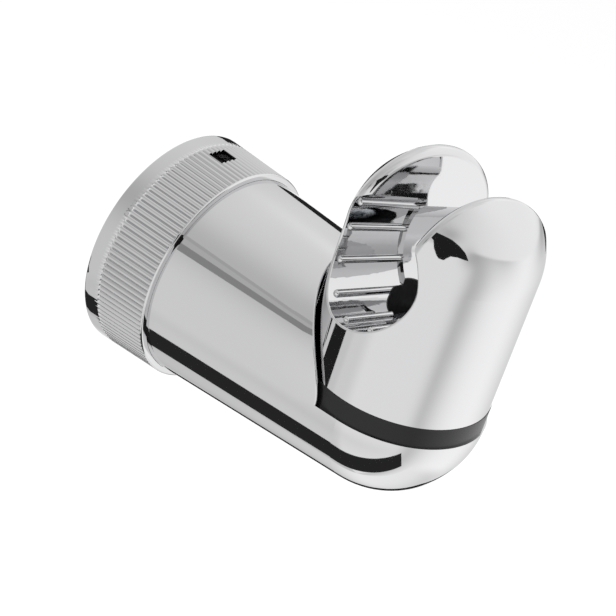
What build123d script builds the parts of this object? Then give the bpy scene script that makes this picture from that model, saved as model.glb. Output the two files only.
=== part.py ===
from build123d import *
import os
from math import acos, atan2, cos, hypot, pi, radians, sin, sqrt

# Wall holder for a hand shower: a fork that swivels on a tapered arm.
# Millimetres. The wall is the plane Y = 0, the arm points along -Y and the fork opens along +Z.
# The origin is the centre of the face that lies against the wall.

# Main layout
reach = 64.8                # wall face to the swivel axis of the fork
ledge_height = 0.3          # ledge that carries the swivel ring, above the arm axis
fork_turn = -20.0           # fork at rest, degrees about the swivel axis, away from square to the arm

# Clearances
running_gap = 0.3           # between turning curved faces
pin_clearance = 0.06        # radial, on hubs and shanks that turn or thread
joint_line = 0.15           # visible line between the clamp ring and the arm
wall_gap = 0.3              # clamp ring held off the wall
overcut = 1.0               # how far a cut runs past the face it opens, or a joined piece into its carrier

# Wall plate
plate_thickness = 8.5
hub_length = 4.0
screw_spacing = 30.0
wall_screw_radius = 2.25
wall_screw_head_radius = 4.0
wall_screw_seat = 4.0       # plastic left under the wall screw's head
lug_count = 3
lug_angle = 40.0
lug_thickness = 2.4
lug_engagement = 1.3        # radial hold of the bayonet lugs

# Friction gasket between the wall plate and the arm flange
gasket_thickness = 1.0
gasket_width = 2.0

# Arm flange, screwed to the back of the arm
flange_thickness = 3.5
flange_overhang = 1.8       # flange past the arm's neck, where it traps the clamp ring
hub_wall = 2.2              # flange between the hub and a screw head's seat
flange_screw_count = 3
flange_screw_radius = 1.5
flange_screw_head_radius = 2.8
flange_screw_head_height = 1.9
flange_screw_length = 12.0

# Knurled clamp ring
ring_length = 17.2          # wall face to the ring's front face
ring_back_radius = 25.9     # smooth band and knurl tips, carried back to the wall
ring_taper = 0.85           # drop in radius from the wall to the front face
ring_wall = 2.4             # outside to the cavity, at the wall
ring_edge_round = 0.5       # back edge of the smooth band
knurl_start = 4.35          # wall face to the back end of the knurl
nose_length = 0.4           # rounded plain edge in front of the knurl
knurl_count = 120
knurl_depth = 0.42
window_width = 4.6
window_length = 3.9
window_from_wall = 8.35
window_angle = 1.8          # degrees from the top

# Arm
shoulder_setback = 1.25     # arm's shoulder inside the clamp ring's front edge
shoulder_inset = 1.2        # arm's shoulder sunk into the clamp ring's front face
shoulder_round = 0.5
dome_overhang = 0.5         # ball-shaped underside past the fork
wall = 2.6
neck_wall = 2.5
shelf_thickness = 2.6
pocket_gap = 0.6            # between the fork and the wall of its pocket
pocket_edge_round = 0.35
boss_wall = 2.5
boss_root = 0.3             # screw bosses sunk into the neck's wall

# Swivel ring
swivel_ring_height = 4.4
swivel_ring_bore = 9.0
swivel_ring_overhang = 0.1  # ring past the fork

# Fork
fork_radius = 20.0
dome_centre_height = 34.5
socket_drop = 3.0           # axis of the cone socket, below the dome's centre
socket_step = 0.5           # the step in the socket, from the swivel axis towards the mouth
socket_far_radius = 10.7    # smooth half, at the fork's outside
socket_far_taper = 0.5      # growth of the smooth half, from the outside to the step
socket_stop = 1.1           # height of the step that ends the ribs
socket_mouth_taper = 1.15   # growth of the ribbed half, from the step to the mouth
slot_lip = 2.1              # each slot wall inside the socket's narrow end
fork_edge_round = 0.35      # edges of the mouth
prong_round = 1.6           # edges of the slot on the dome
prong_round_swell = 0.88    # how far that rounding swells, as a share of a full round
rib_radius = 0.8
rib_setback = 2.6           # from the fork's outside to the rounded end of each rib
rib_step = 30.0
rib_pairs = 4
recess_radius = 6.9
fork_floor = 5.0

# Pivot: screw, washer, disc spring and nut
pivot_radius = 3.0
pivot_head_radius = 5.4
pivot_head_height = 3.4
pivot_head_round = 1.0
pivot_key_width = 4.0
pivot_key_depth = 2.2
washer_radius = 6.2
washer_thickness = 1.2
spring_thickness = 0.7
spring_height = 1.7
nut_width = 10.0
nut_height = 5.0
nut_clearance = 0.1

# Places worked out from the sizes above
gasket_front = plate_thickness + gasket_thickness
flange_front = gasket_front + flange_thickness
shoulder = ring_length - shoulder_inset
knurl_end = ring_length - nose_length
ring_cavity_radius = ring_back_radius - ring_wall
flange_radius = ring_cavity_radius - running_gap
plate_radius = flange_radius - lug_engagement
neck_radius = flange_radius - flange_overhang
neck_bore_radius = neck_radius - neck_wall
flange_screw_circle = neck_bore_radius + boss_root - boss_wall - flange_screw_radius
hub_radius = flange_screw_circle - flange_screw_head_radius - running_gap - hub_wall
ring_lip_radius = neck_radius + running_gap
shoulder_radius = ring_back_radius - ring_taper - shoulder_setback
lug_back = plate_thickness - lug_thickness
fork_bottom = ledge_height + swivel_ring_height
recess_floor = fork_bottom + fork_floor
washer_top = recess_floor + washer_thickness
pivot_head_seat = washer_top + spring_height
nut_roof = ledge_height - shelf_thickness - boss_wall
nut_bottom = nut_roof - nut_height
dome_radius = fork_radius + dome_overhang
pocket_radius = fork_radius + pocket_gap
slot_half_width = socket_far_radius - slot_lip
socket_step_radius = socket_far_radius + socket_far_taper + socket_stop
fork_top = dome_centre_height + fork_radius
socket_height = dome_centre_height - socket_drop
tiny = 0.01
swivel = Pos(0, -reach, 0)
fork_place = Pos(0, -reach, 0) * Rot(0, 0, 180 + fork_turn)


def turned_y(*edges):
    """Solid of revolution about the arm axis, from a closed outline of radius against Y."""
    return revolve(make_face(edges), axis=Axis.Y)


def turned_z(*points):
    """Solid of revolution about the swivel axis, from (radius, height) corners."""
    corners = [(radius, 0, height) for radius, height in points]
    return revolve(make_face(Polyline(*corners, close=True)), axis=Axis.Z)


def washer_y(outer, inner, front, back):
    """Flat ring about the arm axis between two distances from the wall."""
    corners = [(inner, -front), (outer, -front), (outer, -back), (inner, -back)]
    return turned_y(Polyline(*corners, close=True))


def rod_y(radius, start, end):
    """Round bar along the arm axis between two distances from the wall."""
    return Pos(0, -(start + end) / 2, 0) * Rot(90, 0, 0) * Cylinder(radius, abs(end - start))


def rod_z(radius, bottom, top):
    """Upright round bar between two heights."""
    return Pos(0, 0, bottom) * Cylinder(radius, top - bottom, align=(Align.CENTER, Align.CENTER, Align.MIN))


def round_the_axis(count, piece):
    """Copies of a piece, evenly spaced about the arm axis."""
    return [Rot(0, 360 / count * index, 0) * piece for index in range(count)]


def sector_y(outer, inner, front, back, angle):
    """Part of a flat ring about the arm axis, centred on the top."""
    corners = [(inner, -front), (outer, -front), (outer, -back), (inner, -back)]
    face = make_face(Polyline(*corners, close=True))
    return Rot(0, -90 - angle / 2, 0) * revolve(face, axis=Axis.Y, revolution_arc=angle)


def make_wall_plate():
    plate = rod_y(plate_radius, 0, plate_thickness)
    plate += rod_y(hub_radius, 0, plate_thickness + hub_length)
    lug = sector_y(flange_radius, plate_radius - overcut, plate_thickness, lug_back, lug_angle)
    plate += round_the_axis(lug_count, lug)
    for side in (-1, 1):
        place = Pos(side * screw_spacing / 2, 0, 0)
        plate -= place * rod_y(wall_screw_radius, -overcut, plate_thickness + overcut)
        plate -= place * rod_y(wall_screw_head_radius, wall_screw_seat, plate_thickness + overcut)
    return plate


def make_clamp_gasket():
    return washer_y(plate_radius, plate_radius - gasket_width, gasket_front, plate_thickness)


def flange_screw_place():
    return Pos(0, 0, flange_screw_circle)


def make_arm_flange():
    flange = washer_y(flange_radius, hub_radius + pin_clearance, flange_front, gasket_front)
    hole = rod_y(flange_screw_radius + pin_clearance, gasket_front - overcut, flange_front + overcut)
    seat = rod_y(flange_screw_head_radius + running_gap, gasket_front - overcut, flange_screw_head_back())
    flange -= round_the_axis(flange_screw_count, flange_screw_place() * (hole + seat))
    return flange


def flange_screw_head_back():
    """Distance from the wall to the face under a flange screw's head."""
    return gasket_front + flange_screw_head_height


def make_flange_screw():
    head_back = flange_screw_head_back()
    screw = rod_y(flange_screw_head_radius, gasket_front, head_back)
    screw += rod_y(flange_screw_radius, head_back, head_back + flange_screw_length)
    return flange_screw_place() * screw


def ring_radius(distance):
    """Outside radius of the ring, over the knurl tips, at a distance from the wall."""
    return ring_back_radius - ring_taper * distance / ring_length


def knurl_outline(distance):
    """Toothed outline of the knurl at a distance from the wall. The teeth shrink in step with the taper."""
    tip = ring_radius(distance)
    root = tip * (1 - knurl_depth / ring_back_radius)
    corners = []
    for index in range(2 * knurl_count):
        radius = root if index % 2 else tip
        angle = pi * index / knurl_count
        corners.append((radius * sin(angle), -distance, radius * cos(angle)))
    return make_face(Polyline(*corners, close=True))


def make_knurled_ring():
    back_band = turned_y(Polyline(
        (ring_cavity_radius, -wall_gap),
        (ring_radius(wall_gap), -wall_gap),
        (ring_radius(knurl_start), -knurl_start),
        (ring_cavity_radius, -knurl_start),
        close=True,
    ))
    back_edge = back_band.edges().filter_by(GeomType.CIRCLE).sort_by(Axis.Y)[-2:].sort_by(SortBy.LENGTH)[-1]
    back_band = fillet(back_edge, ring_edge_round)
    grip = loft([knurl_outline(knurl_start), knurl_outline(knurl_end)], ruled=True)
    grip -= rod_y(ring_cavity_radius, knurl_start - overcut, knurl_end + overcut)
    tip = ring_radius(knurl_end)
    nose = turned_y(
        Line((ring_lip_radius, -knurl_end), (tip, -knurl_end)),
        RadiusArc((tip, -knurl_end), (tip - nose_length, -ring_length), nose_length),
        Line((tip - nose_length, -ring_length), (ring_lip_radius, -ring_length)),
        Line((ring_lip_radius, -ring_length), (ring_lip_radius, -knurl_end)),
    )
    lip = washer_y(ring_cavity_radius, ring_lip_radius, knurl_end, flange_front)
    ring = back_band + grip + lip + nose
    ring -= rod_y(shoulder_radius + joint_line, shoulder - joint_line, ring_length + overcut)
    lug_foot = ring_cavity_radius + ring_wall / 2
    lug = sector_y(lug_foot, plate_radius + running_gap, lug_back, lug_back - lug_thickness, lug_angle)
    ring += round_the_axis(lug_count, lug)
    window_depth = 2 * ring_wall
    window = Pos(0, -window_from_wall, ring_back_radius) * Box(window_width, window_length, 2 * window_depth)
    ring -= Rot(0, -window_angle, 0) * window
    return ring


def tube_with_dome(start_radius, start, end_radius):
    """Tapered bar from a radius at a distance from the wall to a tangent ball about the swivel axis."""
    run = reach - start
    turn = atan2(run, start_radius) - acos(end_radius / hypot(run, start_radius))
    half = (turn - pi / 2) / 2
    tangent = (end_radius * cos(turn), -reach + end_radius * sin(turn))
    middle = (end_radius * cos(half), -reach + end_radius * sin(half))
    tip = (0, -reach - end_radius)
    return turned_y(
        Line((0, -start), (start_radius, -start)),
        Line((start_radius, -start), tangent),
        ThreePointArc(tangent, middle, tip),
        Line(tip, (0, -start)),
    )


def on_pocket_rim(edge):
    """True for the edge where the pocket's wall comes out through the arm's top."""
    point = edge.position_at(0.5)
    from_swivel = hypot(point.X, point.Y + reach)
    return abs(from_swivel - pocket_radius) < tiny and point.Z > ledge_height + pocket_gap


def nut_prism(width, bottom, top):
    """Upright hexagonal bar, its width given across the flats."""
    outline = RegularPolygon(width / 2, 6, major_radius=False)
    return Pos(0, 0, bottom) * extrude(outline, top - bottom)


def make_arm_body():
    tube = tube_with_dome(shoulder_radius, shoulder, dome_radius)
    shoulder_edge = tube.edges().filter_by(GeomType.CIRCLE).sort_by(Axis.Y)[-1]
    tube = fillet(shoulder_edge, shoulder_round)
    hollow = tube_with_dome(neck_bore_radius, flange_front - overcut, dome_radius - wall)
    hollow -= swivel * rod_z(pocket_radius + wall, ledge_height - shelf_thickness, fork_top)
    arm = tube + rod_y(neck_radius, flange_front, shoulder) - hollow
    pocket = rod_z(pocket_radius, ledge_height, fork_top)
    arm -= swivel * pocket
    arm = fillet(arm.edges().filter_by(on_pocket_rim), pocket_edge_round)
    nut_corner_radius = (nut_width + nut_clearance) / sqrt(3)
    nut_boss = rod_z(nut_corner_radius + boss_wall, nut_bottom, ledge_height - shelf_thickness)
    pilot = rod_z(swivel_ring_bore - running_gap, ledge_height, fork_bottom - running_gap)
    nut_pocket = nut_prism(nut_width + nut_clearance, nut_bottom, nut_roof)
    pivot_hole = rod_z(pivot_radius + pin_clearance, nut_roof, fork_bottom)
    arm += swivel * nut_boss
    arm += swivel * pilot
    arm -= swivel * (nut_pocket + pivot_hole)
    screw_tip = flange_screw_head_back() + flange_screw_length
    screw_boss = rod_y(flange_screw_radius + boss_wall, flange_front, screw_tip + boss_wall)
    screw_hole = rod_y(flange_screw_radius + pin_clearance, flange_front, screw_tip + running_gap)
    arm += round_the_axis(flange_screw_count, flange_screw_place() * screw_boss)
    arm -= round_the_axis(flange_screw_count, flange_screw_place() * screw_hole)
    return arm


def make_swivel_ring():
    outer = fork_radius + swivel_ring_overhang
    ring = rod_z(outer, ledge_height, fork_bottom) - rod_z(swivel_ring_bore, ledge_height, fork_bottom)
    return swivel * ring


def socket_radius(distance):
    """Radius of the ribbed half of the socket at a distance from the swivel axis, towards the mouth."""
    share = (distance - socket_step) / (fork_radius - socket_step)
    return socket_step_radius + socket_mouth_taper * share


def far_radius(distance):
    """Radius of the smooth half of the socket at a distance from the swivel axis, away from the mouth."""
    share = (distance + fork_radius) / (fork_radius + socket_step)
    return socket_far_radius + socket_far_taper * share


def socket_outline(distance, radius):
    """Keyhole of the socket and the slot above it, in a plane square to the socket's axis."""
    plane = Plane((distance, 0, socket_height), x_dir=(0, 1, 0), z_dir=(1, 0, 0))
    corner = sqrt(radius ** 2 - slot_half_width ** 2)
    top = fork_top + overcut - socket_height
    left_corner = (-slot_half_width, corner)
    right_corner = (slot_half_width, corner)
    left_top = (-slot_half_width, top)
    right_top = (slot_half_width, top)
    return plane * make_face([
        ThreePointArc(left_corner, (0, -radius), right_corner),
        Line(right_corner, right_top),
        Line(right_top, left_top),
        Line(left_top, left_corner),
    ])


def outside_distance(across, height):
    """Distance from the swivel axis to the fork's outside, along the socket, at an offset and a height."""
    above_dome_centre = max(height - dome_centre_height, 0)
    return sqrt(fork_radius ** 2 - across ** 2 - above_dome_centre ** 2)


def on_fork_mouth(edge):
    """True for the edges where the socket and the slot come out through the fork's round outside."""
    if edge.geom_type == GeomType.LINE:
        return False
    start = edge.position_at(0)
    middle = edge.position_at(0.5)
    above_dome_centre = max(middle.Z - dome_centre_height, 0)
    off_axis = hypot(middle.X, middle.Y, above_dome_centre)
    level = abs(start.Z - middle.Z) < tiny
    return abs(off_axis - fork_radius) < tiny and not level


def make_rib(angle):
    """Rounded rib along the wall of the socket's ribbed half, at an angle from the socket's bottom."""
    turn = radians(angle)
    across = socket_step_radius * sin(turn)
    height = socket_height - socket_step_radius * cos(turn)
    end = outside_distance(across, height) - rib_setback
    start = socket_step - rib_radius
    start_point = Vector(start, 0, -socket_radius(start))
    end_point = Vector(end, 0, -socket_radius(end))
    along = end_point - start_point
    bar = Cylinder(rib_radius, along.length, align=(Align.CENTER, Align.CENTER, Align.MIN))
    rib = Plane(start_point, z_dir=along) * bar + Pos(end_point) * Sphere(rib_radius)
    return Pos(0, 0, socket_height) * Rot(angle, 0, 0) * rib


def make_prong_cut():
    """Cutter that rounds the edge between a slot wall and the dome, turned about the dome's cross axis."""
    across = slot_half_width + prong_round
    inner = fork_radius - prong_round
    out = sqrt(inner ** 2 - across ** 2)
    grow = fork_radius / inner
    on_wall = Vector(slot_half_width, out)
    on_dome = Vector(across, out) * grow
    corner = Vector(slot_half_width, sqrt(fork_radius ** 2 - slot_half_width ** 2))
    centre = Vector(across, out)
    chord_middle = (on_wall + on_dome) / 2
    full_middle = centre + (corner - centre).normalized() * prong_round
    middle = chord_middle + (full_middle - chord_middle) * prong_round_swell
    outside = fork_radius + overcut
    in_slot = slot_half_width - overcut
    outline = make_face([
        ThreePointArc(on_wall, middle, on_dome),
        Line(on_dome, (on_dome.X, outside)),
        Line((on_dome.X, outside), (in_slot, outside)),
        Line((in_slot, outside), (in_slot, out)),
        Line((in_slot, out), on_wall),
    ])
    half_turn = revolve(outline, axis=Axis.X, revolution_arc=180)
    return Pos(0, 0, dome_centre_height) * Rot(0, 0, 90) * half_turn


def make_fork_head():
    outside = fork_radius + 2 * rib_setback
    near = loft([
        socket_outline(socket_step, socket_step_radius),
        socket_outline(outside, socket_radius(outside)),
    ])
    far = loft([
        socket_outline(socket_step, far_radius(socket_step)),
        socket_outline(-outside, far_radius(-outside)),
    ])
    fork = rod_z(fork_radius, fork_bottom, dome_centre_height)
    fork += Pos(0, 0, dome_centre_height) * Sphere(fork_radius)
    fork = fork - near - far
    fork = fillet(fork.edges().filter_by(on_fork_mouth), fork_edge_round)
    prong_cut = make_prong_cut()
    fork = fork - prong_cut - Rot(0, 0, 180) * prong_cut
    for index in range(-rib_pairs, rib_pairs + 1):
        fork += make_rib(rib_step * index)
    fork -= rod_z(recess_radius, recess_floor, socket_height)
    fork -= rod_z(pivot_radius + pin_clearance, fork_bottom, recess_floor)
    return fork_place * fork


def make_pivot_washer():
    washer = rod_z(washer_radius, recess_floor, washer_top)
    washer -= rod_z(pivot_radius + pin_clearance, recess_floor, washer_top)
    return swivel * washer


def make_disc_spring():
    inner = pivot_radius + pin_clearance
    rise = spring_height - spring_thickness
    outline = [
        (washer_radius, washer_top),
        (inner, washer_top + rise),
        (inner, washer_top + spring_height),
        (washer_radius, washer_top + spring_thickness),
    ]
    return swivel * turned_z(*outline)


def make_pivot_screw():
    head_top = pivot_head_seat + pivot_head_height
    head = rod_z(pivot_head_radius, pivot_head_seat, head_top)
    head = fillet(head.edges().sort_by(Axis.Z)[-1], pivot_head_round)
    screw = head + rod_z(pivot_radius, nut_bottom, pivot_head_seat)
    screw -= nut_prism(pivot_key_width, head_top - pivot_key_depth, head_top)
    return swivel * screw


def make_pivot_nut():
    nut = nut_prism(nut_width, nut_bottom, nut_roof)
    nut -= rod_z(pivot_radius + pin_clearance, nut_bottom, nut_roof)
    return swivel * nut


def write(name, solid):
    export_step(solid, os.path.join("parts", name + ".step"))


os.makedirs("parts", exist_ok=True)
write("wall_plate", make_wall_plate())
write("clamp_gasket", make_clamp_gasket())
write("arm_flange", make_arm_flange())
for number, screw in enumerate(round_the_axis(flange_screw_count, make_flange_screw()), start=1):
    write(f"flange_screw_{number}", screw)
write("knurled_ring", make_knurled_ring())
write("arm_body", make_arm_body())
write("swivel_ring", make_swivel_ring())
write("fork_head", make_fork_head())
write("pivot_washer", make_pivot_washer())
write("disc_spring", make_disc_spring())
write("pivot_screw", make_pivot_screw())
write("pivot_nut", make_pivot_nut())
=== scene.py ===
from math import cos, radians, sin
import bmesh
import bpy
import numpy as np
from mathutils import Matrix, Vector


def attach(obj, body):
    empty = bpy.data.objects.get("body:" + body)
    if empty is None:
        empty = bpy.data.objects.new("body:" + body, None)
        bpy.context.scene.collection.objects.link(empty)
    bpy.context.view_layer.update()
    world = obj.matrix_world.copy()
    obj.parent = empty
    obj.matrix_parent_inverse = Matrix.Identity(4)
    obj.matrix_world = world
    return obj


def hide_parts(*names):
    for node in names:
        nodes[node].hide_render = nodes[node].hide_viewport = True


# Wall holder for a hand shower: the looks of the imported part.
# Metres, in the part's own frame: the wall is Y = 0, the arm points along -Y, the fork opens along +Z.

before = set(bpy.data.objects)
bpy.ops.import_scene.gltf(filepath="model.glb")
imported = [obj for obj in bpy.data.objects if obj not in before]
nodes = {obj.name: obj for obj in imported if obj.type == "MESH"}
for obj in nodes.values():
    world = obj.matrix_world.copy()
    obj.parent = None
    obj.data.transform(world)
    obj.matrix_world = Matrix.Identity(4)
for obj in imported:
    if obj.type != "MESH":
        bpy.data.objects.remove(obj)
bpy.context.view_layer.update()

mm = 0.001

# Camera: where it stands and what it looks at, in degrees and metres
camera_azimuth = -58.84
camera_elevation = 28.04
camera_roll = 18.13
camera_distance = 0.38869
camera_aim = Vector((0.01527, -0.0304, -0.00425))
sensor_width = 36.0
camera_lens = 102.51

# Studio, in metres: a light tent round the part, dark flags just inside it, and a pale floor under both
tent_middle = np.array((0.0, -0.045, 0.008))
tent_radius = 0.37
tent_columns = 361
tent_rows = 181
flag_radius = 0.35
floor_height = -0.40
floor_half_width = 4.0

# Brightness of the tent's panels before their shading, of the floor, and of the world as seen and as a light
lower_panel = 1.13
upper_panel = 0.72
back_panel = 0.96
under_panel = 1.27
top_panel = 1.05
floor_lift = 0.62
world_seen = 1.0
world_light = 0.55

# Dark corner of the tent where two softboxes meet: its azimuth and its spread to the left and to the right
corner_azimuth = -18
corner_spread_left = 10.5
corner_spread_right = 16.3

# Edge between the tent's lower and upper front panels: elevations at these azimuths
edge_azimuths = (-60, -25, 40, 90)
edge_elevations = (27, 27, 9, 4)

# Soft patches in the tent: change of brightness, azimuth and its spread, elevation and its spread
front_patches = (
    (-0.30, -30, 9, 22, 9),
    (-0.28, -56, 17, 41, 8),
    (-0.30, 80, 16, 2, 8),
)
high_patch = (0.22, 105, 20, 48, 11)

# Brightness of a black flag
flag_black = 0.02

# Long flag under the arm: brightness, height in mm, and x and y of its corners in mm
under_flag_level = 0.028
under_flag_height = -150
under_flag_corners = (
    (-89, 300), (-34, 300), (-24, 80), (-19, 0), (-24, -60), (-31, -180), (-98, -248), (-89, 0),
)

# Black flags round the part: azimuth and elevation of their corners, seen from the middle of the tent
facing_flags = {
    "back_flag": ((112, -11.5), (121.4, -11.5), (121.4, 5.5), (112, 5.5)),
    "edge_flag": ((126, -13.3), (138, -15), (138, 2), (131, 5.5), (126, 5.5)),
    "slot_flag": (
        (109.6, -31.5), (111.8, -28), (115.5, -21), (118.5, -11), (121.4, -11), (118.9, -20), (115, -28),
    ),
    "right_flag": ((87, -11), (104, -11), (104, 2), (87, 2)),
    "left_flag": ((-154, -20), (-134.5, -20), (-134.5, -31.8), (-154, -31.8)),
    "lens_flag": (
        (-96, 38.5), (-72, 38.2), (-64, 38.2), (-52.4, 36.6), (-42.4, 32.3), (-34.4, 26.5), (-29.7, 19.2),
        (-35.2, 19.8), (-41.9, 21), (-49.3, 20.4), (-52.1, 18.2), (-55.4, 14.8), (-61, 15), (-64, 17.2),
        (-69.5, 23.2), (-73, 30),
    ),
}

# Flags beside the arm: brightness, and degrees about the arm and mm along it for each corner
arm_flags = {
    "low_flag": (flag_black, (
        (-151, 190), (-151, 60), (-150, 26), (-144, -42), (-131, -32), (-137, 5), (-138, 190),
    )),
    "dark_bar": (0.35, ((53.3, 100), (59.2, 100), (64.5, 176), (56.2, 176))),
    "middle_bar": (0.62, ((50.2, 100), (53.3, 100), (56.2, 176), (49.6, 176))),
    "thin_bar": (0.54, ((47.2, 100), (50.2, 100), (49.6, 176), (46.2, 176))),
}

# Lamps: azimuth, elevation, distance and width in metres, power in watts
lamps = {
    "key_lamp": (30, 55, 0.9, 0.5, 4.0),
    "fill_lamp": (-70, 35, 1.0, 0.6, 2.0),
}

# Clamp ring, in mm from the wall and from the arm's axis, and degrees about it
ring_length = 17.2
ring_back_radius = 25.9
ring_taper = 0.85
ring_wall_gap = 0.3
ring_edge_round = 0.5
ring_round_steps = 7
ring_band_rows = (1.8, 3.4)
ring_cavity_radius = 23.5
ring_lip_radius = 21.7
ring_lip_back = 13.0
ring_bore_back = 15.85
ring_bore_back_radius = 23.95
ring_bore_front_radius = 23.76
ring_sharp_angle = 38
reed_start = 4.35
reed_end = 16.8
reed_count = 120
reed_depth = 0.45
reed_end_round = 0.6
reed_end_rows = (0, 0.06, 0.18, 0.38, 0.66, 1.0)
reed_steps = 12
window_from = 6.4
window_to = 10.3
window_turn_from = -7.0
window_turn_to = 3.5
lug_inner_radius = 22.2
lug_outer_radius = 24.7
lug_from = 3.7
lug_to = 6.1
lug_angle = 40.0
lug_middles = (0, 120, 240)
lug_steps = 17

# Fork: its swivel axis, and the recess that the pivot screw sits in, where painted shade replaces the chrome
swivel_y = -64.8 * mm
well_radius = 7.1 * mm
well_bottom = 5.0 * mm
well_top = 27.0 * mm

# Colour sockets of a Mix node: the two inputs and the result
mix_first, mix_second, mix_result = 6, 7, 2

# Phase in radians that a Wave texture gains over one unit at scale 1
wave_phase = 20


def linear(hex_colour, alpha=1.0):
    """Linear colour from an sRGB hex value such as 'C8CACB'."""
    parts = np.array([int(hex_colour[i:i + 2], 16) for i in (0, 2, 4)]) / 255
    light = np.where(parts <= 0.04045, parts / 12.92, ((parts + 0.055) / 1.055) ** 2.4)
    return (*light.tolist(), alpha)


def node(tree, kind, links=None, values=None, **settings):
    """Adds a node, sets its properties and input values, and links other nodes' outputs to its inputs."""
    made = tree.nodes.new(kind)
    for name, value in settings.items():
        setattr(made, name, value)
    for name, value in (values or {}).items():
        made.inputs[name].default_value = value
    for name, output in (links or {}).items():
        tree.links.new(output, made.inputs[name])
    return made


def new_material(name):
    """Empty node material, its tree and its output node."""
    material = bpy.data.materials.new(name)
    material.use_nodes = True
    tree = material.node_tree
    tree.nodes.clear()
    return material, tree, node(tree, "ShaderNodeOutputMaterial")


def per_metre(size_in_mm):
    """Texture scale that gives a pattern of the stated size."""
    return 1 / (size_in_mm * mm)


# Materials


def chrome_plate():
    """Bright chrome plated on moulded plastic: a mirror with the plastic's slow flow waves under it and a thin
    haze of dried water. Inside the pivot recess the mirror gives way to dark plastic, painted shade that darkens the
    recess."""
    material, tree, output = new_material("chrome_plated_plastic_and_painted_shade")
    place = node(tree, "ShaderNodeTexCoord").outputs["Object"]
    waves = node(tree, "ShaderNodeTexNoise", {"Vector": place}, {"Scale": per_metre(11), "Detail": 1.0})
    haze = node(tree, "ShaderNodeTexNoise", {"Vector": place}, {"Scale": per_metre(3.5), "Detail": 5.0})
    rough = node(tree, "ShaderNodeMapRange", {"Value": haze.outputs["Fac"]},
                 {"From Min": 0.35, "From Max": 0.75, "To Min": 0.025, "To Max": 0.055})
    bump = node(tree, "ShaderNodeBump", {"Height": waves.outputs["Fac"]},
                {"Strength": 0.25, "Distance": 0.004 * mm})
    mirror = node(tree, "ShaderNodeBsdfPrincipled",
                  {"Roughness": rough.outputs["Result"], "Normal": bump.outputs["Normal"]},
                  {"Base Color": linear("CCCCCD"), "Metallic": 1.0})
    # Dark plastic surface for the pivot recess: painted shade in place of the chrome
    painted_shade_plastic = node(tree, "ShaderNodeBsdfPrincipled", None, {"Base Color": linear("2C2C2D"), "Roughness": 0.3})
    # Mask of the pivot recess about the swivel axis, where the painted shade replaces the mirror
    axis = node(tree, "ShaderNodeMapping", {"Vector": place}, {"Location": (0, -swivel_y, 0)})
    split = node(tree, "ShaderNodeSeparateXYZ", {"Vector": axis.outputs[0]})
    flat = node(tree, "ShaderNodeCombineXYZ", {"X": split.outputs["X"], "Y": split.outputs["Y"]})
    reach = node(tree, "ShaderNodeVectorMath", {0: flat.outputs[0]}, operation="LENGTH")
    inside = node(tree, "ShaderNodeMath", {0: reach.outputs["Value"]}, {1: well_radius}, operation="LESS_THAN")
    below = node(tree, "ShaderNodeMath", {0: split.outputs["Z"]}, {1: well_top}, operation="LESS_THAN")
    above = node(tree, "ShaderNodeMath", {0: split.outputs["Z"]}, {1: well_bottom}, operation="GREATER_THAN")
    height = node(tree, "ShaderNodeMath", {0: below.outputs[0], 1: above.outputs[0]}, operation="MULTIPLY")
    painted_shade_well = node(tree, "ShaderNodeMath", {0: inside.outputs[0], 1: height.outputs[0]}, operation="MULTIPLY")
    both = node(tree, "ShaderNodeMixShader", {"Fac": painted_shade_well.outputs[0], 1: mirror.outputs[0], 2: painted_shade_plastic.outputs[0]})
    tree.links.new(both.outputs[0], output.inputs["Surface"])
    return material


def black_rubber():
    """Moulded black rubber: near black, with a fine even grain and a soft sheen at a low angle."""
    material, tree, output = new_material("moulded_black_rubber")
    place = node(tree, "ShaderNodeTexCoord").outputs["Object"]
    grain = node(tree, "ShaderNodeTexNoise", {"Vector": place}, {"Scale": per_metre(0.35), "Detail": 2.0})
    bloom = node(tree, "ShaderNodeTexNoise", {"Vector": place}, {"Scale": per_metre(6), "Detail": 3.0})
    shade = node(tree, "ShaderNodeMix", {"Factor": bloom.outputs["Fac"]},
                 {mix_first: linear("151516"), mix_second: linear("1B1B1C")}, data_type="RGBA")
    bump = node(tree, "ShaderNodeBump", {"Height": grain.outputs["Fac"]},
                {"Strength": 0.3, "Distance": 0.02 * mm})
    surface = node(tree, "ShaderNodeBsdfPrincipled",
                   {"Base Color": shade.outputs[mix_result], "Normal": bump.outputs["Normal"]},
                   {"Roughness": 0.3, "Specular IOR Level": 0.3})
    tree.links.new(surface.outputs[0], output.inputs["Surface"])
    return material


def dark_plastic():
    """Moulded dark acetal: the mould's fine spark grain gives a satin surface that shows no mirror image."""
    material, tree, output = new_material("moulded_dark_acetal")
    place = node(tree, "ShaderNodeTexCoord").outputs["Object"]
    sparks = node(tree, "ShaderNodeTexVoronoi", {"Vector": place}, {"Scale": per_metre(0.3)})
    cloud = node(tree, "ShaderNodeTexNoise", {"Vector": place}, {"Scale": per_metre(8), "Detail": 3.0})
    shade = node(tree, "ShaderNodeMix", {"Factor": cloud.outputs["Fac"]},
                 {mix_first: linear("18181A"), mix_second: linear("212123")}, data_type="RGBA")
    bump = node(tree, "ShaderNodeBump", {"Height": sparks.outputs["Distance"]},
                {"Strength": 0.35, "Distance": 0.03 * mm})
    surface = node(tree, "ShaderNodeBsdfPrincipled",
                   {"Base Color": shade.outputs[mix_result], "Normal": bump.outputs["Normal"]},
                   {"Roughness": 0.5, "Specular IOR Level": 0.25})
    tree.links.new(surface.outputs[0], output.inputs["Surface"])
    return material


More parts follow.
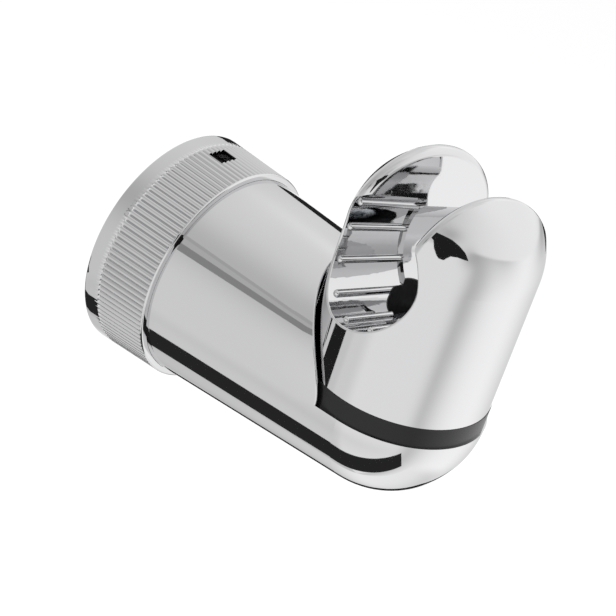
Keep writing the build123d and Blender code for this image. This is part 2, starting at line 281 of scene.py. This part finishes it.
def zinc_steel():
    """Zinc-plated steel: cool grey and satin, with the plating's small crystals as faint lighter and darker
    patches."""
    material, tree, output = new_material("zinc_plated_steel")
    place = node(tree, "ShaderNodeTexCoord").outputs["Object"]
    crystals = node(tree, "ShaderNodeTexVoronoi", {"Vector": place}, {"Scale": per_metre(0.6)})
    grey = node(tree, "ShaderNodeSeparateColor", {"Color": crystals.outputs["Color"]})
    shade = node(tree, "ShaderNodeMix", {"Factor": grey.outputs[0]},
                 {mix_first: linear("AEB3B8"), mix_second: linear("C2C6CA")}, data_type="RGBA")
    rough = node(tree, "ShaderNodeMapRange", {"Value": grey.outputs[1]}, {"To Min": 0.24, "To Max": 0.36})
    surface = node(tree, "ShaderNodeBsdfPrincipled",
                   {"Base Color": shade.outputs[mix_result], "Roughness": rough.outputs["Result"]},
                   {"Metallic": 1.0})
    tree.links.new(surface.outputs[0], output.inputs["Surface"])
    return material


def turned_brass():
    """Turned brass: warm yellow, with the lathe tool's rings about the pivot and a slight brown tarnish."""
    material, tree, output = new_material("turned_brass")
    place = node(tree, "ShaderNodeTexCoord").outputs["Object"]
    axis = node(tree, "ShaderNodeMapping", {"Vector": place}, {"Location": (0, -swivel_y, 0)})
    rings = node(tree, "ShaderNodeTexWave", {"Vector": axis.outputs[0]},
                 {"Scale": per_metre(0.25) / wave_phase, "Distortion": 0.4},
                 wave_type="RINGS", rings_direction="Z")
    stain = node(tree, "ShaderNodeTexNoise", {"Vector": place}, {"Scale": per_metre(2.5), "Detail": 4.0})
    shade = node(tree, "ShaderNodeMix", {"Factor": stain.outputs["Fac"]},
                 {mix_first: linear("D2AE62"), mix_second: linear("B48A45")}, data_type="RGBA")
    bump = node(tree, "ShaderNodeBump", {"Height": rings.outputs["Fac"]},
                {"Strength": 0.3, "Distance": 0.01 * mm})
    surface = node(tree, "ShaderNodeBsdfPrincipled",
                   {"Base Color": shade.outputs[mix_result], "Normal": bump.outputs["Normal"]},
                   {"Roughness": 0.28, "Metallic": 1.0})
    tree.links.new(surface.outputs[0], output.inputs["Surface"])
    return material


# Clamp ring


def grid_faces(rows, columns, first=0):
    """Quads of a grid that is closed both ways, numbered row by row, as an array of rows by columns by 4."""
    row, column = np.meshgrid(np.arange(rows), np.arange(columns), indexing="ij")
    next_row, next_column = (row + 1) % rows, (column + 1) % columns
    corners = (row * columns + column, row * columns + next_column,
               next_row * columns + next_column, next_row * columns + column)
    return first + np.stack(corners, axis=-1)


def ring_profile():
    """Closed profile of the clamp ring from its back edge, over the outside and back through the bore: distance
    from the wall, radius over the reeds, and depth of the grooves between them. Each reed ends in a quarter
    round: the depth is multiplied by the square root of 1 - (1 - s) squared, s running over the rounded length."""
    def outside(distance):
        return ring_back_radius - ring_taper * distance / ring_length

    quarter = np.radians(np.linspace(0, 90, ring_round_steps))
    edge = ring_wall_gap + ring_edge_round * (1 - np.cos(quarter))
    edge_radius = outside(edge) - ring_edge_round * (1 - np.sin(quarter))
    band = np.array(ring_band_rows)
    run = np.array(reed_end_rows)
    share = np.sqrt(1 - (1 - run) ** 2)
    reeds = np.concatenate((reed_start + reed_end_round * run, (window_from, window_to),
                            reed_end - reed_end_round * run[::-1]))
    reed_share = np.concatenate((share, (1, 1), share[::-1]))
    nose_length = ring_length - reed_end
    nose = reed_end + nose_length * np.sin(quarter[1:])
    nose_radius = outside(reed_end) - nose_length * (1 - np.cos(quarter[1:]))
    inside = np.array((
        (ring_length, ring_bore_front_radius),
        (ring_bore_back, ring_bore_back_radius),
        (ring_bore_back, ring_lip_radius),
        (ring_lip_back, ring_lip_radius),
        (ring_lip_back, ring_cavity_radius),
        (window_to, ring_cavity_radius),
        (window_from, ring_cavity_radius),
        (ring_wall_gap, ring_cavity_radius),
    ))
    distance = np.concatenate((edge, band, reeds, nose, inside[:, 0]))
    radius = np.concatenate((edge_radius, outside(band), outside(reeds), nose_radius, inside[:, 1]))
    depth = np.zeros_like(distance)
    first = len(edge) + len(band)
    depth[first:first + len(reeds)] = reed_share * reed_depth
    return distance, radius, depth


def ring_lugs(first):
    """Three bayonet lugs inside the ring: a rectangle carried along an arc, with its two ends closed."""
    turn = np.radians(np.linspace(-lug_angle / 2, lug_angle / 2, lug_steps))
    radius = np.array((lug_inner_radius, lug_outer_radius, lug_outer_radius, lug_inner_radius))[:, None]
    distance = np.array((lug_from, lug_from, lug_to, lug_to))[:, None]
    corners = len(radius)
    points, faces = [], []
    for middle in np.radians(lug_middles):
        about = turn + middle
        place = np.stack((radius * np.sin(about), -distance + 0 * about, radius * np.cos(about)), axis=-1)
        sides = grid_faces(corners, lug_steps, first)[:, :-1].reshape(-1, 4)
        ends = first + lug_steps * np.arange(corners) + np.array((0, lug_steps - 1))[:, None]
        points.append(place.reshape(-1, 3))
        faces.extend((sides, ends))
        first += corners * lug_steps
    return np.concatenate(points), np.concatenate(faces)


def make_reeded_ring(material):
    """Clamp ring with rounded reeds: the closed profile is turned about the arm, and its radius falls by the reeds'
    depth times t squared, t running from -1 to 1 across each reed. The lock window is left out of the grid,
    outside and in the bore, and walled between the two."""
    distance, radius, depth = ring_profile()
    rows, columns = len(distance), reed_count * reed_steps
    turn = 2 * np.pi * np.arange(columns) / columns
    across = 2 * ((np.arange(columns) / reed_steps + 0.5) % 1) - 1
    reach = radius[:, None] - depth[:, None] * across ** 2
    points = np.stack((reach * np.sin(turn), -distance[:, None] + 0 * turn, reach * np.cos(turn)), axis=-1)

    per_degree = columns / 360
    opening = np.arange(round(window_turn_from * per_degree), round(window_turn_to * per_degree))
    start, end = opening % columns, (opening + 1) % columns
    outer_row = int(np.flatnonzero((distance == window_from) & (radius > lug_outer_radius))[0])
    inner_row = int(np.flatnonzero((distance == window_to) & (radius == ring_cavity_radius))[0])
    keep = np.ones((rows, columns), dtype=bool)
    keep[outer_row, start] = False
    keep[inner_row, start] = False
    index = np.arange(rows * columns).reshape(rows, columns)
    walls = [np.stack((index[outer][start], index[outer][end], index[inner][end], index[inner][start]), axis=-1)
             for outer, inner in ((outer_row, inner_row + 1), (outer_row + 1, inner_row))]
    window_rows = (outer_row, outer_row + 1, inner_row, inner_row + 1)
    sides = [[index[row, column] for row in window_rows] for column in (start[0], end[-1])]

    lug_points, lug_faces = ring_lugs(rows * columns)
    all_points = np.concatenate((points.reshape(-1, 3), lug_points)) * mm
    all_faces = np.concatenate((grid_faces(rows, columns)[keep], *walls, np.array(sides), lug_faces))
    mesh = bpy.data.meshes.new("reeded_ring")
    mesh.from_pydata(all_points.tolist(), [], all_faces.tolist())
    shell = bmesh.new()
    shell.from_mesh(mesh)
    bmesh.ops.recalc_face_normals(shell, faces=shell.faces)
    shell.to_mesh(mesh)
    shell.free()
    mesh.shade_smooth()
    mesh.set_sharp_from_angle(angle=radians(ring_sharp_angle))
    mesh.materials.append(material)
    ring = bpy.data.objects.new("reeded_ring", mesh)
    bpy.context.collection.objects.link(ring)
    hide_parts("knurled_ring")
    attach(ring, "ring")


# Studio


def direction(azimuth, elevation):
    """Unit vectors: azimuth in degrees from -Y towards +X, elevation above the level."""
    a, e = np.radians(azimuth), np.radians(elevation)
    return np.stack((np.sin(a) * np.cos(e), -np.cos(a) * np.cos(e), np.sin(e) + 0 * a), axis=-1)


def soft_step(value, start, end):
    """Smooth rise from 0 at start to 1 at end."""
    t = np.clip((value - start) / (end - start), 0, 1)
    return t * t * (3 - 2 * t)


def hump(value, middle, width):
    """Bell curve of height 1."""
    return np.exp(-((value - middle) / width) ** 2)


def patch(azimuth, elevation, change, azimuth_middle, azimuth_width, elevation_middle, elevation_width):
    """Soft patch: a bell curve in azimuth times one in elevation."""
    return change * hump(azimuth, azimuth_middle, azimuth_width) * hump(elevation, elevation_middle, elevation_width)


def tent_glow(azimuth, elevation):
    """Brightness of the tent's cloth. Round the front, a lower and an upper panel meet at a slanting edge. The
    lower one is dark at the corner where two softboxes meet and fades out to both sides; the upper one brightens
    from left to right. Behind, the brightness follows the angle about the arm. Underneath it falls from the
    front to the wall. A slanting streak low on the right and a few soft patches are added."""
    x, y, z = np.moveaxis(direction(azimuth, elevation), -1, 0)
    about_arm = np.degrees(np.arctan2(-x, z))

    # Front panels
    corner_width = np.where(azimuth < corner_azimuth, corner_spread_left, corner_spread_right)
    lower = lower_panel + 0.27 * soft_step(azimuth, -25, 25) - 0.40 * hump(azimuth, corner_azimuth, corner_width)
    lower -= 0.66 * soft_step(azimuth, 35, 105) + 0.28 * soft_step(-azimuth, 95, 150)
    upper = upper_panel + 0.56 * soft_step(azimuth, -130, 45) - 0.20 * soft_step(azimuth, 85, 120)
    edge = np.interp(azimuth, edge_azimuths, edge_elevations)
    front = lower + (upper - lower) * soft_step(elevation, edge - 2, edge + 2.5)

    # Shade that fades downwards from the edge, soft patches, and more light low in front
    below_edge = np.exp(-np.maximum(edge - elevation, 0) / 14) * soft_step(elevation, edge + 1.5, edge - 1.5)
    front -= 0.46 * hump(azimuth, 12, 18) * below_edge
    for values in front_patches:
        front += patch(azimuth, elevation, *values)
    front += 0.14 * hump(azimuth, -12, 13) * soft_step(-elevation, 16, 30)

    # Back and underside
    back = back_panel + 0.09 * hump(about_arm, -38, 34) - 0.26 * hump(about_arm, 45, 25)
    back -= 0.08 * hump(about_arm, -88, 14) + 0.16 * soft_step(np.abs(about_arm), 140, 180)
    back *= 1 - 0.10 * soft_step(y, 0.44, 0.54)
    under = under_panel - 0.47 * soft_step(y, -0.05, 0.5) - 0.44 * hump(about_arm, -138, 20)
    under_share = soft_step(-elevation, 44, 56) * soft_step(np.abs(about_arm + 165), 60, 30)

    # The panels joined softly, the streak and the patch high on the right
    glow = front + (back - front) * soft_step(np.abs(azimuth), 94, 112)
    glow += (top_panel - glow) * soft_step(elevation, 68, 82)
    glow -= 0.10 * hump(about_arm, 130, 14) * soft_step(-elevation, 30, 44)
    glow += 0.8 * hump(elevation - azimuth, -135, 7.5) * hump(azimuth, 104, 16)
    glow += patch(azimuth, elevation, *high_patch)
    return glow + (under - glow) * under_share


def lit_cloth():
    """Lit tent cloth: a plain white glow, as bright at each point as the mesh's own glow value says."""
    material, tree, output = new_material("lit_tent_cloth")
    level = node(tree, "ShaderNodeAttribute", attribute_name="glow")
    light = node(tree, "ShaderNodeEmission", {"Strength": level.outputs["Fac"]})
    tree.links.new(light.outputs[0], output.inputs["Surface"])
    material.cycles.emission_sampling = "NONE"
    return material


def hang(name, points, faces, glow, cloth):
    """Hangs a sheet of lit cloth round the part, with a glow value for each point. It shows in reflections alone,
    so that it neither hides the part nor lights it."""
    mesh = bpy.data.meshes.new(name)
    mesh.from_pydata(points.tolist(), [], faces)
    level = mesh.attributes.new("glow", "FLOAT", "POINT")
    level.data.foreach_set("value", glow)
    mesh.materials.append(cloth)
    piece = bpy.data.objects.new(name, mesh)
    piece.visible_camera = False
    piece.visible_diffuse = False
    piece.visible_shadow = False
    piece.visible_transmission = False
    bpy.context.collection.objects.link(piece)


def make_tent(cloth):
    """Sphere of white cloth round the part: a grid in azimuth and elevation, each point as bright as tent_glow
    says."""
    azimuth, elevation = np.meshgrid(np.linspace(-180, 180, tent_columns), np.linspace(-90, 90, tent_rows))
    points = tent_middle + tent_radius * direction(azimuth, elevation)
    index = np.arange(tent_rows * tent_columns).reshape(tent_rows, tent_columns)
    faces = np.stack((index[:-1, :-1], index[:-1, 1:], index[1:, 1:], index[1:, :-1]), axis=-1).reshape(-1, 4)
    hang("light_tent", points.reshape(-1, 3), faces.tolist(), tent_glow(azimuth, elevation).ravel(), cloth)


def make_flags(cloth):
    """Dark cards that draw the black and grey lines in the chrome: a long level one under the arm, and others
    whose corners lie on a sphere just inside the tent."""
    def card(name, points, level):
        hang(name, points, [tuple(range(len(points)))], np.full(len(points), level), cloth)

    under = np.array([(x, y, under_flag_height) for x, y in under_flag_corners]) * mm
    card("under_flag", under, under_flag_level)
    for name, corners in facing_flags.items():
        azimuth, elevation = np.array(corners, dtype=float).T
        card(name, tent_middle + flag_radius * direction(azimuth, elevation), flag_black)
    for name, (level, corners) in arm_flags.items():
        turn, along = np.array(corners, dtype=float).T
        turn, along = np.radians(turn), along * mm
        reach = np.sqrt(flag_radius ** 2 - along ** 2)
        away = np.stack((-np.sin(turn) * reach, along, np.cos(turn) * reach), axis=-1)
        card(name, tent_middle + away, level)


def seen(tree):
    """Value that is 1 for a ray from the camera, a mirror or glass, and 0 for a ray that gathers light."""
    path = node(tree, "ShaderNodeLightPath")
    mirror = node(tree, "ShaderNodeMath", {0: path.outputs["Is Camera Ray"], 1: path.outputs["Is Glossy Ray"]},
                  operation="MAXIMUM")
    glass = node(tree, "ShaderNodeMath", {0: mirror.outputs[0], 1: path.outputs["Is Transmission Ray"]},
                 operation="MAXIMUM")
    return glass.outputs[0]


def make_floor():
    """Pale floor under the part: white to the camera and in the chrome, less the part's own soft shadow."""
    half = floor_half_width
    corners = [(x, y, floor_height) for x, y in ((-half, -half), (half, -half), (half, half), (-half, half))]
    mesh = bpy.data.meshes.new("floor")
    mesh.from_pydata(corners, [], [(0, 1, 2, 3)])
    floor = bpy.data.objects.new("floor", mesh)
    material, tree, output = new_material("pale_floor")
    lift = node(tree, "ShaderNodeMath", {0: seen(tree)}, {1: floor_lift}, operation="MULTIPLY")
    white = node(tree, "ShaderNodeEmission", {"Strength": lift.outputs[0]})
    pale = node(tree, "ShaderNodeBsdfDiffuse", None, {"Color": linear("D0D0D0")})
    both = node(tree, "ShaderNodeAddShader", {0: white.outputs[0], 1: pale.outputs[0]})
    tree.links.new(both.outputs[0], output.inputs["Surface"])
    mesh.materials.append(material)
    bpy.context.collection.objects.link(floor)


def make_world():
    """White world: full strength for the camera and for reflections, softer as a light."""
    world = bpy.data.worlds.new("studio")
    bpy.context.scene.world = world
    world.use_nodes = True
    tree = world.node_tree
    tree.nodes.clear()
    strength = node(tree, "ShaderNodeMapRange", {"Value": seen(tree)}, {"To Min": world_light, "To Max": world_seen})
    sky = node(tree, "ShaderNodeBackground", {"Strength": strength.outputs["Result"]}, {"Color": linear("FFFFFF")})
    node(tree, "ShaderNodeOutputWorld", {"Surface": sky.outputs[0]})


def make_lamp(name, azimuth, elevation, distance, size, power):
    """Square softbox lamp that faces the part and stays out of its mirror images, which the tent gives."""
    data = bpy.data.lights.new(name, "AREA")
    data.size = size
    data.energy = power
    lamp = bpy.data.objects.new(name, data)
    away = Vector(direction(azimuth, elevation))
    lamp.location = Vector(tent_middle) + distance * away
    lamp.rotation_euler = away.to_track_quat("Z", "Y").to_euler()
    lamp.visible_glossy = False
    bpy.context.collection.objects.link(lamp)


def make_camera():
    """Camera turned about the line of sight, so that the part leans as in the photograph."""
    back = Vector(direction(camera_azimuth, camera_elevation))
    level_right = Vector((cos(radians(camera_azimuth)), sin(radians(camera_azimuth)), 0))
    level_up = back.cross(level_right)
    turn = radians(camera_roll)
    right = cos(turn) * level_right + sin(turn) * level_up
    up = back.cross(right)
    place = camera_aim + camera_distance * back
    data = bpy.data.cameras.new("camera")
    data.sensor_width = sensor_width
    data.lens = camera_lens
    camera = bpy.data.objects.new("camera", data)
    camera.matrix_world = Matrix((
        (right.x, up.x, back.x, place.x),
        (right.y, up.y, back.y, place.y),
        (right.z, up.z, back.z, place.z),
        (0, 0, 0, 1),
    ))
    bpy.context.collection.objects.link(camera)
    bpy.context.scene.camera = camera


def dress(material, *names):
    """Gives nodes of the frame their finished material."""
    for name in names:
        for slot in nodes[name].material_slots:
            slot.material = material


make_camera()
make_world()
make_floor()
cloth = lit_cloth()
make_tent(cloth)
make_flags(cloth)
for lamp_name, lamp_values in lamps.items():
    make_lamp(lamp_name, *lamp_values)

chrome = chrome_plate()
dress(chrome, "knurled_ring", "arm_body", "fork_head")
make_reeded_ring(chrome)
dress(black_rubber(), "swivel_ring", "clamp_gasket")
dress(dark_plastic(), "wall_plate", "arm_flange")
dress(zinc_steel(), "flange_screw_1", "flange_screw_2", "flange_screw_3",
      "pivot_screw", "pivot_washer", "disc_spring")
dress(turned_brass(), "pivot_nut")

bpy.context.scene.view_settings.view_transform = "Standard"
